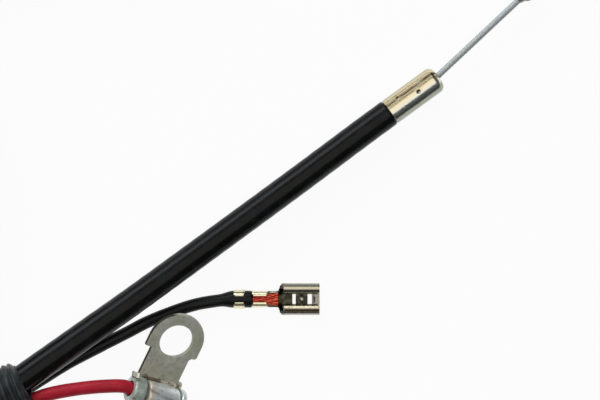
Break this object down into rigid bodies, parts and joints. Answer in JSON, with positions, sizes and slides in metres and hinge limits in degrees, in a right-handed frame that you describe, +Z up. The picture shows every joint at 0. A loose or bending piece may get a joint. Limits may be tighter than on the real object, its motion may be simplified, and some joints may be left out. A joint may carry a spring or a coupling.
{
  "type": "throttle cable",
  "caption": "Throttle cable with sheathed conduit, sliding inner wire with barrel nipples, stop and earth wires with a receptacle and flag eyelet, coiled and tied in the middle.",
  "frame": {"origin": "middle of the base: the cable lies flat, wound in one and a half turns in its middle, both ends laid out straight", "axes": "+X from the coil towards the ends of the inner wire, +Y from the engine end towards the trigger end, +Z up"},
  "size_m": [0.2118, 0.114, 0.0211],
  "materials": {
    "jacket": "black extruded jacket, satin",
    "armour": "wound spring steel",
    "liner": "natural nylon",
    "steel_wire": "galvanised stranded wire",
    "ferrule": "polished, passivated zinc plate",
    "nipple": "cast zinc, dull",
    "black_wire": "black insulation, satin",
    "red_wire": "red insulation, satin",
    "copper": "bare copper strands",
    "tinned_brass": "stamped, pale brass",
    "tinned_steel": "tinned, dull grey",
    "solder": "solder and flux crust",
    "binding": "wound black tape",
    "sleeve": "black sleeve",
    "tie": "black nylon"
  },
  "bodies": {
    "cable": {"engine_jacket": "jacket", "engine_armour": "armour", "engine_liner": "liner", "engine_wire_run": "steel_wire", "engine_ferrule": "ferrule", "stop_wire": "black_wire", "stop_wire_strands": "copper", "stop_receptacle": "tinned_brass", "earth_wire": "red_wire", "earth_wire_strands": "copper", "earth_eyelet": "tinned_steel", "earth_solder": "solder", "engine_binding": "binding", "sleeve_lead": "sleeve", "sleeve_coil": "sleeve", "sleeve_tail": "sleeve", "coil_tie": "tie", "trigger_binding": "binding", "trigger_jacket": "jacket", "trigger_armour": "armour", "trigger_liner": "liner", "trigger_wire_run": "steel_wire", "trigger_ferrule": "ferrule", "trigger_stop_wire": "black_wire", "trigger_stop_strands": "copper", "trigger_stop_receptacle": "tinned_brass", "trigger_earth_wire": "red_wire", "trigger_earth_strands": "copper", "trigger_earth_receptacle": "tinned_brass"},
    "engine_wire_end": {"engine_inner_wire": "steel_wire", "engine_nipple": "nipple"},
    "trigger_wire_end": {"trigger_inner_wire": "steel_wire", "trigger_nipple": "nipple"}
  },
  "joints": [
    {"name": "engine_wire_slide", "type": "slide", "parent": "cable", "child": "engine_wire_end", "axis": [0.729, 0.6846, 0.0023], "range_m": [-0.0195, 0.0255], "deforming": ["engine_inner_wire"]},
    {"name": "trigger_wire_slide", "type": "slide", "parent": "cable", "child": "trigger_wire_end", "axis": [1, 0, 0], "range_m": [-0.0255, 0.0195], "deforming": ["trigger_inner_wire"]}
  ],
  "couplings": [
    {"joint": "trigger_wire_slide", "follows": "engine_wire_slide", "ratio": -1}
  ]
}
